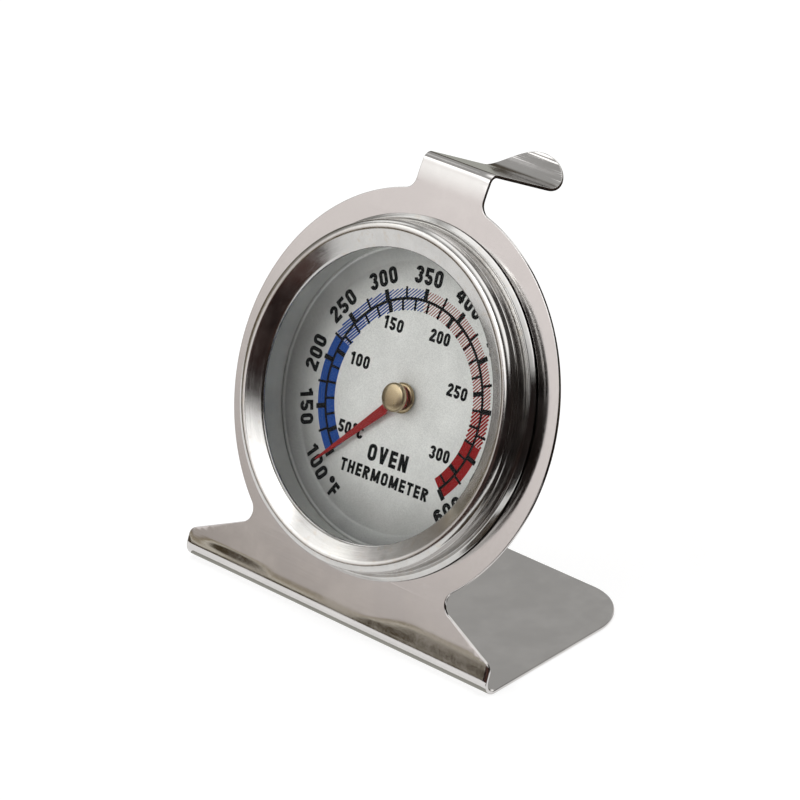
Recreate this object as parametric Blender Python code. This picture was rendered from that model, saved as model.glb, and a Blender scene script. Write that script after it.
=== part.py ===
"""Oven thermometer: a bimetal dial thermometer riding in a bent stainless stand.

Axes: +X to the right when facing the dial, +Y to the back, +Z up, metres.
The stand rests on z = 0. The dial unit is laid out in its own coordinates first:
u to the right, v backwards along the dial's axis, w up the plate from the axis,
with v = 0 on the front of the stand's plate. The plate leans back by LEAN.
"""
import math

import bmesh
import bpy
from mathutils import Vector
from mathutils.geometry import tessellate_polygon

MM = 0.001

# stand: one sheet, cut to shape and bent about lines parallel to X
SHEET = 0.5                    # sheet thickness
LEAN = math.radians(25.0)      # the plate leans back by this much
PLATE_R = 31.0                 # round plate
AXIS_W = 35.0                  # dial axis above the lower end of the plate, along the plate
HOLE_R = 25.45                 # hole for the dial case
BASE_HALF = 31.0               # half width of the foot
WING_SLOPE = math.radians(24.0)
WING_W = 8.1                   # height of the wing's upper edge at WING_U
WING_U = 22.0
WING_CORNER_R = 1.5
NECK_R = 2.0                   # fillet between plate and wing
FOOT_BEND_R = 2.0              # outer radius of the bend at the foot
FOOT_LENGTH = 31.6             # flat of the foot
FOOT_CORNER_R = 8.6
TAB_HALF = 6.6                 # half width of the hanging hook
TAB_R = 2.0                    # fillet between plate and hook
HOOK_BEND_W = 69.4             # where the plate turns over into the hook
HOOK_BEND_R = 1.6              # outer radius of that bend
HOOK_TURN = math.radians(93.4)
HOOK_LENGTH = 12.4             # straight part of the hook
FLIP_R = 5.2                   # inside radius of the turned-up end
FLIP_TURN = math.radians(80.0)

# dial unit, radii and depths along v
RING_SEGMENTS = 64
BEZEL_EDGE_R = 21.84
DIAL_FLAT_R = 19.6
DIAL_FACE_V = 2.9
DIAL_SHEET = 0.4
DIAL_RIM_R = 24.4
DIAL_RIM_V = 1.67
LENS_R = 24.4
LENS_FRONT_V = -2.7
LENS_BACK_V = -1.2
SPACER_IN_R = 22.75
CASE_FLOOR_V = 10.5
CASE_SHEET = 0.45
CASE_FILL_R = 21.0             # inside this radius the floor carries its holes

# movement
SHAFT_R = 0.7
BORE_R = 1.0
BUSH_R = 1.6
BUSH_HOLE_R = 1.9
POINTER_V = 1.25
POINTER_SHEET = 0.25
POINTER_TIP = 18.6
POINTER_REST = math.radians(227.4)   # counter-clockwise from +u, facing the dial
BRIDGE_V = 4.9
BRIDGE_SHEET = 0.6
BRIDGE_HALF = 18.2
BRIDGE_WIDTH = 6.4
PILLAR_U = 15.5
PILLAR_R = 1.6
SPIGOT_R = 0.8
SPIGOT_HOLE_R = 1.1
COIL_INNER_R = 2.15
COIL_PITCH = 1.25
COIL_TURNS = 4.75
COIL_SHEET = 0.35
COIL_V0 = 6.6
COIL_V1 = 9.0
POST_W = -9.25
POST_R = 0.7
POST_SPIGOT_R = 0.5
POST_HOLE_R = 0.8

# height of the plate's lower end above the floor, and the shift that centres the depth
BEND_MID = FOOT_BEND_R - SHEET / 2
FLOOR_SHIFT = FOOT_BEND_R - FOOT_BEND_R * (math.cos(LEAN) - math.sin(LEAN))
DEPTH_SHIFT = -24.464


def clear_scene():
    for old in list(bpy.data.objects):
        bpy.data.objects.remove(old, do_unlink=True)


def world(u, v, w):
    """A point of the dial unit (millimetres) in the standing object's frame (metres)."""
    h = w + AXIS_W
    y = v * math.cos(LEAN) + h * math.sin(LEAN) + DEPTH_SHIFT
    z = -v * math.sin(LEAN) + h * math.cos(LEAN) + FLOOR_SHIFT
    return Vector((u * MM, y * MM, z * MM))


def material(name, colour, metallic, roughness, alpha=1.0, transmission=0.0):
    mat = bpy.data.materials.new(name)
    mat.use_nodes = True
    node = mat.node_tree.nodes["Principled BSDF"]
    node.inputs["Base Color"].default_value = (*colour, 1.0)
    node.inputs["Metallic"].default_value = metallic
    node.inputs["Roughness"].default_value = roughness
    node.inputs["Alpha"].default_value = alpha
    node.inputs["Transmission Weight"].default_value = transmission
    return mat


def add_object(name, bm, mat, pivot=None, sharp=30.0):
    """Turns a bmesh laid out in (u, v, w) millimetres into a placed object."""
    origin = world(*pivot) if pivot else Vector((0.0, 0.0, 0.0))
    for vert in bm.verts:
        vert.co = world(*vert.co) - origin
    bmesh.ops.recalc_face_normals(bm, faces=bm.faces[:])
    mesh = bpy.data.meshes.new(name)
    bm.to_mesh(mesh)
    bm.free()
    mesh.materials.append(mat)
    mesh.shade_smooth()
    mesh.set_sharp_from_angle(angle=math.radians(sharp))
    obj = bpy.data.objects.new(name, mesh)
    obj.location = origin
    bpy.context.scene.collection.objects.link(obj)
    return obj


def arc(cx, cy, radius, start, end, steps):
    """Points of an arc, both ends included; angles in radians."""
    out = []
    for i in range(steps + 1):
        a = start + (end - start) * i / steps
        out.append((cx + radius * math.cos(a), cy + radius * math.sin(a)))
    return out


def circle(cx, cy, radius, segments):
    out = []
    for i in range(segments):
        a = 2 * math.pi * i / segments
        out.append((cx + radius * math.cos(a), cy + radius * math.sin(a)))
    return out


def hex_scale(angle):
    """How far a hexagon of flat-to-flat radius 1 reaches in this direction."""
    return 1.0 / math.cos((angle % (math.pi / 3)) - math.pi / 6)


def spin(bm, rows, segments, centre=(0.0, 0.0), closed=True):
    """Spins profile rows (radius, v) or (radius, v, "hex") round an axis parallel to v."""
    rings = []
    for row in rows:
        radius, v = row[0], row[1]
        if radius < 1e-6:
            rings.append([bm.verts.new((centre[0], v, centre[1]))])
            continue
        ring = []
        for i in range(segments):
            a = 2 * math.pi * i / segments
            r = radius * hex_scale(a) if len(row) > 2 else radius
            ring.append(bm.verts.new((centre[0] + r * math.cos(a), v, centre[1] + r * math.sin(a))))
        rings.append(ring)
    pairs = list(zip(rings, rings[1:]))
    if closed and len(rings[0]) > 1 and len(rings[-1]) > 1:
        pairs.append((rings[-1], rings[0]))
    for a, b in pairs:
        for i in range(segments):
            j = (i + 1) % segments
            if len(a) == 1 and len(b) == 1:
                break
            if len(a) == 1:
                bm.faces.new((a[0], b[i], b[j]))
            elif len(b) == 1:
                bm.faces.new((a[i], b[0], a[j]))
            else:
                bm.faces.new((a[i], b[i], b[j], a[j]))
    return rings


def turned(name, rows, segments, mat, centre=(0.0, 0.0), pivot=None):
    """A turned piece: a closed ring, or a solid when the profile starts and ends on the axis."""
    bm = bmesh.new()
    spin(bm, rows, segments, centre)
    return add_object(name, bm, mat, pivot)


def fill(bm, loops, v):
    """Fills an outline with holes, flat at depth v; returns the vertices loop by loop."""
    flat = [Vector((x, y, 0.0)) for loop in loops for x, y in loop]
    verts = [bm.verts.new((p.x, v, p.y)) for p in flat]
    outlines = [[Vector((x, y, 0.0)) for x, y in loop] for loop in loops]
    for tri in tessellate_polygon(outlines):
        bm.faces.new([verts[i] for i in tri])
    out, k = [], 0
    for loop in loops:
        out.append(verts[k:k + len(loop)])
        k += len(loop)
    return out


def wall(bm, a, b):
    """Joins two equal loops of vertices with a band of quads."""
    n = len(a)
    for i in range(n):
        j = (i + 1) % n
        bm.faces.new((a[i], a[j], b[j], b[i]))


def plate_solid(bm, loops, v0, v1):
    """A flat plate with holes between two depths."""
    front = fill(bm, loops, v0)
    back = fill(bm, loops, v1)
    for a, b in zip(front, back):
        wall(bm, a, b)


# ---------------------------------------------------------------- stand

FOOT_ANGLE = math.pi + LEAN            # direction of the sheet in the foot, towards the front
FOOT_ARC = BEND_MID * (math.pi / 2 + LEAN)
FOOT_TOP_S = FOOT_BEND_R               # the plate becomes flat here
FOOT_LOW_S = FOOT_TOP_S - FOOT_ARC     # the foot becomes flat here
FOOT_END_S = FOOT_LOW_S - FOOT_LENGTH
HOOK_MID = HOOK_BEND_R - SHEET / 2
HOOK_S = HOOK_BEND_W + HOOK_MID * HOOK_TURN
FLIP_S = HOOK_S + HOOK_LENGTH
FLIP_MID = FLIP_R + SHEET / 2
TIP_S = FLIP_S + FLIP_MID * FLIP_TURN


def step(point, angle, length, turn):
    """Walks along the sheet's middle line: straight when turn is 0, else along an arc."""
    if abs(turn) < 1e-9:
        return (point[0] + length * math.cos(angle), point[1] + length * math.sin(angle)), angle
    r = length / turn
    x = point[0] + r * (math.sin(angle + turn) - math.sin(angle))
    y = point[1] - r * (math.cos(angle + turn) - math.cos(angle))
    return (x, y), angle + turn


def sheet_point(s):
    """Middle line of the bent sheet: position in (v, height) and direction at length s."""
    point = (SHEET / 2, FOOT_TOP_S)
    angle = math.pi / 2
    if s < FOOT_TOP_S:
        part = min(FOOT_TOP_S - s, FOOT_ARC)
        point, angle = step(point, angle, -part, part / BEND_MID)
        if s < FOOT_LOW_S:
            point, angle = step(point, angle, s - FOOT_LOW_S, 0.0)
        return point, angle
    point, angle = step(point, angle, min(s, HOOK_BEND_W) - FOOT_TOP_S, 0.0)
    if s > HOOK_BEND_W:
        part = min(s, HOOK_S) - HOOK_BEND_W
        point, angle = step(point, angle, part, -part / HOOK_MID)
    if s > HOOK_S:
        point, angle = step(point, angle, min(s, FLIP_S) - HOOK_S, 0.0)
    if s > FLIP_S:
        part = s - FLIP_S
        point, angle = step(point, angle, part, part / FLIP_MID)
    return point, angle


def neck_fillet():
    """Centre of the fillet between the round plate and the sloping wing."""
    nx, ny = math.sin(WING_SLOPE), math.cos(WING_SLOPE)
    c = nx * WING_U + ny * WING_W + NECK_R
    reach = PLATE_R + NECK_R
    d = c - ny * AXIS_W                # distance of the plate's centre from the offset line
    along = math.sqrt(reach * reach - d * d)
    return d * nx + along * ny, AXIS_W + d * ny - along * nx


def half_outline():
    """Right half of the flat blank, from the middle of the foot's rear edge to the hook's tip."""
    pts = [(0.0, FOOT_END_S)]
    pts += arc(BASE_HALF - FOOT_CORNER_R, FOOT_END_S + FOOT_CORNER_R, FOOT_CORNER_R,
               -math.pi / 2, 0.0, 10)
    edge = WING_W - (BASE_HALF - WING_U) * math.tan(WING_SLOPE)
    set_back = WING_CORNER_R * math.tan((math.pi / 2 - WING_SLOPE) / 2)
    pts += arc(BASE_HALF - WING_CORNER_R, edge - set_back, WING_CORNER_R,
               0.0, math.pi / 2 - WING_SLOPE, 6)
    cx, cy = neck_fillet()
    to_plate = math.atan2(AXIS_W - cy, -cx)
    pts += arc(cx, cy, NECK_R, 1.5 * math.pi - WING_SLOPE, to_plate, 8)
    tab_cx = TAB_HALF + TAB_R
    tab_cy = AXIS_W + math.sqrt((PLATE_R + TAB_R) ** 2 - tab_cx ** 2)
    low = math.atan2(cy - AXIS_W, cx)
    high = math.atan2(tab_cy - AXIS_W, tab_cx)
    pts += arc(0.0, AXIS_W, PLATE_R, low, high, 30)[1:-1]
    pts += arc(tab_cx, tab_cy, TAB_R, math.pi + high, math.pi, 5)
    pts += arc(0.0, TIP_S - TAB_HALF, TAB_HALF, 0.0, math.pi / 2, 10)
    return pts


def bend_rows():
    """Lengths at which the blank is divided so that the bends come out round."""
    rows = [FOOT_LOW_S - 0.3, FOOT_TOP_S + 0.3, HOOK_BEND_W - 0.3, HOOK_S + 0.3, FLIP_S - 0.3]
    rows += [FOOT_LOW_S + FOOT_ARC * i / 10 for i in range(11)]
    rows += [HOOK_BEND_W + (HOOK_S - HOOK_BEND_W) * i / 8 for i in range(9)]
    rows += [FLIP_S + (TIP_S - FLIP_S) * i / 8 for i in range(8)]
    return rows


def build_stand():
    right = half_outline()
    left = [(-x, y) for x, y in reversed(right[1:-1])]
    hole = circle(0.0, AXIS_W, HOLE_R, RING_SEGMENTS)
    blank = bmesh.new()
    fill(blank, [right + left, hole], 0.0)
    for s in bend_rows():
        bmesh.ops.bisect_plane(blank, geom=blank.verts[:] + blank.edges[:] + blank.faces[:],
                               dist=1e-5, plane_co=(0.0, 0.0, s), plane_no=(0.0, 0.0, 1.0))
    bmesh.ops.triangulate(blank, faces=blank.faces[:])
    blank.verts.index_update()
    bm = bmesh.new()
    front, back = [], []
    for vert in blank.verts:
        (v, h), angle = sheet_point(vert.co.z)
        nx, ny = -math.sin(angle) * SHEET / 2, math.cos(angle) * SHEET / 2
        front.append(bm.verts.new((vert.co.x, v + nx, h + ny - AXIS_W)))
        back.append(bm.verts.new((vert.co.x, v - nx, h - ny - AXIS_W)))
    for face in blank.faces:
        ids = [vert.index for vert in face.verts]
        bm.faces.new([front[i] for i in ids])
        bm.faces.new([back[i] for i in reversed(ids)])
    for edge in blank.edges:
        if len(edge.link_faces) == 1:
            a, b = edge.verts[0].index, edge.verts[1].index
            bm.faces.new((front[a], front[b], back[b], back[a]))
    blank.free()
    mat = material("stand_steel", (0.62, 0.61, 0.60), 1.0, 0.22)
    return add_object("stand_bracket", bm, mat, sharp=40.0)


# ---------------------------------------------------------------- dial unit, fixed pieces

def build_bezel():
    rows = [(BEZEL_EDGE_R, -3.15), (BEZEL_EDGE_R, -3.45), (22.05, -3.6), (24.75, -4.93)]
    rows += arc(25.1, -4.25, 0.8, math.radians(-105), math.radians(-8), 6)
    rows += [(26.05, -2.2), (26.25, -1.75), (26.85, -1.35), (27.1, -1.0), (27.1, -0.3)]
    rows += [(26.6, -0.3), (26.6, -0.8), (25.8, -1.45), (25.45, -2.1), (25.45, -4.1)]
    rows += [(25.15, -4.5), (24.75, -4.45), (22.3, -3.2)]
    mat = material("bezel_steel", (0.66, 0.65, 0.64), 1.0, 0.25)
    return turned("bezel", rows, RING_SEGMENTS, mat)


def build_lens():
    r = LENS_R
    rows = [(0.0, LENS_FRONT_V), (r - 0.25, LENS_FRONT_V), (r, LENS_FRONT_V + 0.25),
            (r, LENS_BACK_V - 0.25), (r - 0.25, LENS_BACK_V), (0.0, LENS_BACK_V)]
    mat = material("lens_glass", (0.95, 0.97, 0.96), 0.0, 0.02, transmission=1.0)
    return turned("glass_lens", rows, RING_SEGMENTS, mat)


def build_spacer():
    rows = [(SPACER_IN_R, -0.75), (SPACER_IN_R + 0.15, -0.9), (24.4, -0.9), (24.4, 1.37),
            (SPACER_IN_R, 1.37)]
    mat = material("spacer_aluminium", (0.58, 0.59, 0.58), 1.0, 0.45)
    return turned("spacer_ring", rows, RING_SEGMENTS, mat)


def build_dial():
    f, t = DIAL_FACE_V, DIAL_SHEET
    rows = [(BUSH_HOLE_R, f), (DIAL_FLAT_R, f), (20.6, f - 0.25), (22.3, DIAL_RIM_V + 0.08),
            (22.7, DIAL_RIM_V), (DIAL_RIM_R, DIAL_RIM_V), (DIAL_RIM_R, DIAL_RIM_V + t),
            (22.7, DIAL_RIM_V + t), (20.6, f + t - 0.2), (DIAL_FLAT_R, f + t), (BUSH_HOLE_R, f + t)]
    mat = material("dial_white", (0.80, 0.80, 0.78), 0.3, 0.5)
    return turned("dial_plate", rows, RING_SEGMENTS, mat)


def build_case():
    floor, t = CASE_FLOOR_V, CASE_SHEET
    inner = [(CASE_FILL_R, floor), (22.3, floor)]
    inner += arc(22.3, floor - 0.65, 0.65, math.pi / 2, 0.0, 3)[1:]
    inner += [(22.95, 2.37), (24.7, 2.37), (24.7, 1.75), (25.55, 1.45), (25.55, 1.15),
              (24.7, 0.85), (24.7, -2.9)]
    outer = [(25.15, -2.9), (25.15, 0.75), (26.05, 1.0), (26.05, 1.6), (25.15, 1.9), (25.15, 2.82),
             (23.4, 2.82)]
    outer += arc(22.3, floor - 0.65, 1.1, 0.0, math.pi / 2, 4)
    outer += [(CASE_FILL_R, floor + t)]
    bm = bmesh.new()
    rings = spin(bm, inner + outer, RING_SEGMENTS, closed=False)
    holes = [circle(0.0, 0.0, BUSH_HOLE_R, 24), circle(PILLAR_U, 0.0, SPIGOT_HOLE_R, 16),
             circle(-PILLAR_U, 0.0, SPIGOT_HOLE_R, 16), circle(0.0, POST_W, POST_HOLE_R, 16)]
    loops = [circle(0.0, 0.0, CASE_FILL_R, RING_SEGMENTS)] + holes
    front = fill(bm, loops, floor)
    back = fill(bm, loops, floor + t)
    for a, b in zip(front[1:], back[1:]):
        wall(bm, a, b)
    bmesh.ops.weld_verts(bm, targetmap=dict(zip(front[0] + back[0], rings[0] + rings[-1])))
    mat = material("case_steel", (0.60, 0.60, 0.60), 1.0, 0.3)
    return add_object("rear_case", bm, mat)


def build_bridge():
    half, r = BRIDGE_HALF - BRIDGE_WIDTH / 2, BRIDGE_WIDTH / 2
    outline = arc(half, 0.0, r, -math.pi / 2, math.pi / 2, 10)
    outline += arc(-half, 0.0, r, math.pi / 2, 1.5 * math.pi, 10)
    loops = [outline, circle(0.0, 0.0, BUSH_HOLE_R, 24), circle(PILLAR_U, 0.0, BORE_R, 16),
             circle(-PILLAR_U, 0.0, BORE_R, 16)]
    bm = bmesh.new()
    plate_solid(bm, loops, BRIDGE_V, BRIDGE_V + BRIDGE_SHEET)
    mat = material("bridge_steel", (0.55, 0.55, 0.54), 1.0, 0.4)
    return add_object("movement_bridge", bm, mat)


def build_pillar(name, u):
    """A pillar riveted through the case floor, tapped for the bridge's screw."""
    top, low, tail = BRIDGE_V + BRIDGE_SHEET + 0.3, CASE_FLOOR_V - 0.3, CASE_FLOOR_V + 0.75
    rows = [(0.0, 8.3), (BORE_R, 8.3), (BORE_R, top), (PILLAR_R, top), (PILLAR_R, low),
            (SPIGOT_R, low), (SPIGOT_R, tail), (1.6, tail), (1.35, tail + 0.4), (0.8, tail + 0.55),
            (0.0, tail + 0.55)]
    mat = material(name + "_brass", (0.72, 0.56, 0.30), 1.0, 0.35)
    return turned(name, rows, 20, mat, (u, 0.0))


def build_screw(name, u):
    """A hexagon-headed screw holding the bridge on its pillar."""
    low = BRIDGE_V - 0.3
    rows = [(0.0, low - 0.75), (1.0, low - 0.75), (1.2, low - 0.6, "hex"), (1.2, low, "hex"),
            (SHAFT_R, low), (SHAFT_R, 7.8), (0.45, 8.0), (0.0, 8.0)]
    mat = material(name + "_steel", (0.50, 0.50, 0.50), 1.0, 0.35)
    return turned(name, rows, 24, mat, (u, 0.0))


def build_front_bush():
    """The brass bearing that comes through the dial from the bridge."""
    rows = [(BORE_R, 2.05), (1.95, 2.05), (2.3, 2.25), (2.3, 2.6), (BUSH_R, 2.6), (BUSH_R, 5.8),
            (BORE_R, 5.8)]
    mat = material("front_bush_brass", (0.75, 0.60, 0.34), 1.0, 0.3)
    return turned("front_bush", rows, 28, mat)


def build_rear_bush():
    """The blind brass bearing spun into the case floor."""
    back = CASE_FLOOR_V + CASE_SHEET + 0.3
    low = CASE_FLOOR_V - 0.3
    rows = [(0.0, 10.9), (BORE_R, 10.9), (BORE_R, 9.6), (2.5, 9.6), (2.5, low), (BUSH_R, low),
            (BUSH_R, back), (2.5, back), (2.2, back + 0.45), (1.2, back + 0.6), (0.0, back + 0.6)]
    mat = material("rear_bush_brass", (0.75, 0.60, 0.34), 1.0, 0.3)
    return turned("rear_bush", rows, 24, mat)


def build_post():
    """The pin that holds the coil's outer end, riveted through the case floor."""
    low, tail = CASE_FLOOR_V - 0.3, CASE_FLOOR_V + 0.75
    rows = [(0.0, 6.2), (0.5, 6.2), (POST_R, 6.4), (POST_R, low), (POST_SPIGOT_R, low),
            (POST_SPIGOT_R, tail), (1.1, tail), (0.9, tail + 0.35), (0.0, tail + 0.45)]
    mat = material("post_steel", (0.52, 0.52, 0.52), 1.0, 0.35)
    return turned("coil_anchor_post", rows, 16, mat, (0.0, POST_W))


def build_coil():
    """The flat spiral of bimetal strip between the collar and the anchor post."""
    bm = bmesh.new()
    steps = int(COIL_TURNS * 24)
    sections = []
    for i in range(steps + 1):
        a = 2 * math.pi * COIL_TURNS * i / steps
        r = COIL_INNER_R + COIL_PITCH * a / (2 * math.pi)
        c, s = math.cos(a), math.sin(a)
        ring = []
        for dr, v in ((-1, COIL_V0), (1, COIL_V0), (1, COIL_V1), (-1, COIL_V1)):
            q = r + dr * COIL_SHEET / 2
            ring.append(bm.verts.new((q * c, v, q * s)))
        sections.append(ring)
    for a, b in zip(sections, sections[1:]):
        wall(bm, a, b)
    bm.faces.new(sections[0])
    bm.faces.new(list(reversed(sections[-1])))
    mat = material("bimetal", (0.58, 0.54, 0.47), 1.0, 0.4)
    return add_object("bimetal_coil", bm, mat)


# ---------------------------------------------------------------- dial unit, turning pieces

AXIS_POINT = (0.0, 0.0, 0.0)


def build_pointer():
    c, s = math.cos(POINTER_REST), math.sin(POINTER_REST)
    root, eye = 0.85, 1.95
    start = math.asin(root / eye)
    outline = arc(0.0, 0.0, eye, start, 2 * math.pi - start, 20)
    outline += [(5.0, -0.70), (POINTER_TIP - 0.25, -0.14), (POINTER_TIP, 0.0),
                (POINTER_TIP - 0.25, 0.14), (5.0, 0.70)]
    loops = [outline, circle(0.0, 0.0, 1.5, 20)]
    loops = [[(x * c - y * s, x * s + y * c) for x, y in loop] for loop in loops]
    bm = bmesh.new()
    plate_solid(bm, loops, POINTER_V, POINTER_V + POINTER_SHEET)
    mat = material("pointer_red", (0.55, 0.02, 0.02), 0.0, 0.4)
    return add_object("pointer", bm, mat, AXIS_POINT)


def build_hub():
    """The brass cap that clamps the pointer's eye to the shaft."""
    rows = [(0.0, 0.6), (BORE_R, 0.6), (BORE_R, 1.7), (1.2, 1.7), (1.2, 0.95), (2.2, 0.95),
            (2.2, 0.45), (1.9, 0.15), (1.2, 0.0), (0.0, -0.05)]
    mat = material("hub_brass", (0.78, 0.62, 0.36), 1.0, 0.28)
    return turned("pointer_hub", rows, 28, mat, pivot=AXIS_POINT)


def build_shaft():
    rows = [(0.0, 0.9), (0.55, 0.9), (SHAFT_R, 1.05), (SHAFT_R, 10.4), (0.4, 10.6), (0.0, 10.6)]
    mat = material("shaft_steel", (0.56, 0.56, 0.56), 1.0, 0.25)
    return turned("pointer_shaft", rows, 20, mat, pivot=AXIS_POINT)


def build_clip():
    """The ring that stops the shaft sliding forwards through the front bush."""
    rows = [(BORE_R, 6.1), (1.5, 6.1), (1.5, 6.35), (BORE_R, 6.35)]
    mat = material("clip_steel", (0.45, 0.45, 0.46), 1.0, 0.35)
    return turned("shaft_clip", rows, 24, mat, pivot=AXIS_POINT)


def build_collar():
    """The collar on the shaft that takes the coil's inner end."""
    rows = [(BORE_R, 6.65), (1.55, 6.65), (1.65, 6.75), (1.65, 8.85), (1.55, 8.95), (BORE_R, 8.95)]
    mat = material("collar_brass", (0.72, 0.56, 0.30), 1.0, 0.35)
    return turned("coil_collar", rows, 24, mat, pivot=AXIS_POINT)


def main():
    clear_scene()
    build_stand()
    build_case()
    build_bezel()
    build_lens()
    build_spacer()
    build_dial()
    build_bridge()
    for side, sign in (("left", -1), ("right", 1)):
        build_pillar("bridge_pillar_" + side, sign * PILLAR_U)
        build_screw("bridge_screw_" + side, sign * PILLAR_U)
    build_front_bush()
    build_rear_bush()
    build_post()
    build_coil()
    build_pointer()
    build_hub()
    build_shaft()
    build_clip()
    build_collar()


main()
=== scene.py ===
"""Looks for the oven thermometer: finishes, the printed scale, studio light and camera.

The dial unit is laid out in (u, v, w) millimetres: u to the right, v backwards along the
dial's axis with 0 on the front of the plate, w up the plate from the axis.
"""
import math

import bmesh
import bpy
from mathutils import Matrix, Vector
from mathutils.geometry import tessellate_polygon


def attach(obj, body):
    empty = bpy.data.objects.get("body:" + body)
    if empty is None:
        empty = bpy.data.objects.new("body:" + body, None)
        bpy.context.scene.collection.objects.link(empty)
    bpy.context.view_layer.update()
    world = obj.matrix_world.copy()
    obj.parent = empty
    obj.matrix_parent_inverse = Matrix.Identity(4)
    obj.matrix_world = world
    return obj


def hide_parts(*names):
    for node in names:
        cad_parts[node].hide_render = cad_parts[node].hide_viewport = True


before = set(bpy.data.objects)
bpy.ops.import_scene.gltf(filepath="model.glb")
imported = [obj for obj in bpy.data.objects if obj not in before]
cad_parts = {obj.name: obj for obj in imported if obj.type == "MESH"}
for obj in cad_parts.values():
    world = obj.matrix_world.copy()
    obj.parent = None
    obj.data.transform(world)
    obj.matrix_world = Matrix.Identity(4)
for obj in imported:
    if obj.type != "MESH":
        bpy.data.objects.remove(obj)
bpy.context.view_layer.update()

MM = 0.001
LEAN = math.radians(25.0)              # the plate leans back
AXIS_W = 35.0                          # height of the dial's axis along the plate
FOOT_BEND_R = 2.0                      # outer radius of the bend between plate and foot
FLOOR_SHIFT = FOOT_BEND_R - FOOT_BEND_R * (math.cos(LEAN) - math.sin(LEAN))
DEPTH_SHIFT = -24.464                  # centres the object's depth on the origin
BODY = "thermometer"
TURNING = "pointer_assembly"

# printed scale
DIAL_V = 2.9                           # the dial's front face
INK_BACK = DIAL_V + 0.03
COLOUR_LAYER, BLACK_LAYER = DIAL_V - 0.012, DIAL_V - 0.024
SCALE_U, SCALE_W = -0.10, -0.30        # centre of the printed scale
BAND_OUT, BAND_MID, BAND_IN = 16.5, 15.0, 13.25
PRINT_TURN = 2.2                       # the print sits slightly turned, degrees
COLDEST, HOTTEST = 100.0, 600.0        # ends of the scale, Fahrenheit
SCALE_START, SCALE_SWEEP = 225.0, 270.0
DRIFT, DRIFT_SPAN = 1.7, 400.0         # uneven part of the scale, degrees and Fahrenheit
HATCH_PITCH, HATCH_STEP, SHORTEST_DASH = 0.40, 0.05, 0.15


def dial_point(u, v, w):
    """A point of the dial unit (millimetres) in the standing object's frame (metres)."""
    h = w + AXIS_W
    y = v * math.cos(LEAN) + h * math.sin(LEAN) + DEPTH_SHIFT
    z = -v * math.sin(LEAN) + h * math.cos(LEAN) + FLOOR_SHIFT
    return Vector((u * MM, y * MM, z * MM))


# ---------------------------------------------------------------- shader helpers

class Nodes:
    """A small wrapper round a node tree: add(kind, inputs, props) returns the node."""

    def __init__(self, tree):
        self.tree = tree

    def add(self, kind, inputs=None, **props):
        node = self.tree.nodes.new(kind)
        for key, value in props.items():
            setattr(node, key, value)
        for key, value in (inputs or {}).items():
            if hasattr(value, "is_output"):
                self.tree.links.new(value, node.inputs[key])
            else:
                node.inputs[key].default_value = value
        return node

    def math(self, operation, a, b=0.0):
        return self.add("ShaderNodeMath", {0: a, 1: b}, operation=operation).outputs[0]

    def dot(self, vector, direction):
        node = self.add("ShaderNodeVectorMath", {0: vector, 1: direction},
                        operation="DOT_PRODUCT")
        return node.outputs["Value"]

    def times(self, a, b):
        return self.math("MULTIPLY", a, b)

    def length(self, vector):
        node = self.add("ShaderNodeVectorMath", {0: vector}, operation="LENGTH")
        return node.outputs["Value"]

    def ramp(self, value, low, high, to_low=0.0, to_high=1.0):
        node = self.add("ShaderNodeMapRange",
                        {"Value": value, "From Min": low, "From Max": high,
                         "To Min": to_low, "To Max": to_high},
                        interpolation_type="SMOOTHSTEP")
        return node.outputs["Result"]

    def mix(self, factor, a, b):
        node = self.add("ShaderNodeMix", {0: factor, 6: a, 7: b}, data_type="RGBA")
        return node.outputs[2]

    def noise(self, vector, scale, detail=2.0, roughness=0.5):
        node = self.add("ShaderNodeTexNoise", {"Vector": vector, "Scale": scale,
                                               "Detail": detail, "Roughness": roughness})
        return node.outputs["Fac"]

    def combine(self, x, y, z):
        return self.add("ShaderNodeCombineXYZ", {0: x, 1: y, 2: z}).outputs[0]


def new_material(name, **inputs):
    mat = bpy.data.materials.new(name)
    mat.use_nodes = True
    nodes = Nodes(mat.node_tree)
    shader = mat.node_tree.nodes["Principled BSDF"]
    for key, value in inputs.items():
        shader.inputs[key.replace("_", " ")].default_value = value
    return mat, nodes, shader


def place(nodes):
    """Object coordinates in millimetres: the whole vector and the dial unit's (u, v, w)."""
    raw = nodes.add("ShaderNodeTexCoord").outputs["Object"]
    mm = nodes.add("ShaderNodeVectorMath", {0: raw, 1: (1000.0, 1000.0, 1000.0)},
                   operation="MULTIPLY").outputs[0]
    c, s = math.cos(LEAN), math.sin(LEAN)
    u = nodes.dot(mm, (1.0, 0.0, 0.0))
    v_zero = DEPTH_SHIFT * c - FLOOR_SHIFT * s
    w_zero = DEPTH_SHIFT * s + FLOOR_SHIFT * c + AXIS_W
    v = nodes.math("ADD", nodes.dot(mm, (0.0, c, -s)), -v_zero)
    w = nodes.math("ADD", nodes.dot(mm, (0.0, s, c)), -w_zero)
    return mm, u, v, w


def link(nodes, output, socket):
    nodes.tree.links.new(output, socket)


def bump(nodes, shader, height):
    """Surface relief from a height in millimetres."""
    node = nodes.add("ShaderNodeBump", {"Height": height, "Distance": MM, "Strength": 1.0})
    link(nodes, node.outputs[0], shader.inputs["Normal"])


# ---------------------------------------------------------------- materials

STAIN_TINT = (0.5, 0.42, 0.33)
DIAL_PAINTED_SHADE = (0.0, 30.0 ** 2, 1.11, 0.16)     # painted shade: tone of the enamel by squared distance, mm
DIAL_LEAST_SHADE = (2.0, 3.0)                      # where the painted shade is lightest (u, w)
RIM_HIGHLIGHT_START, RIM_HIGHLIGHT_END = 22.1, 22.35            # painted highlight: the dial's colour doubled at its edge
PANE_CLEAR, PANE_EDGE = 22.35, 22.45        # the glass mirrors nothing past its front face


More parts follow.
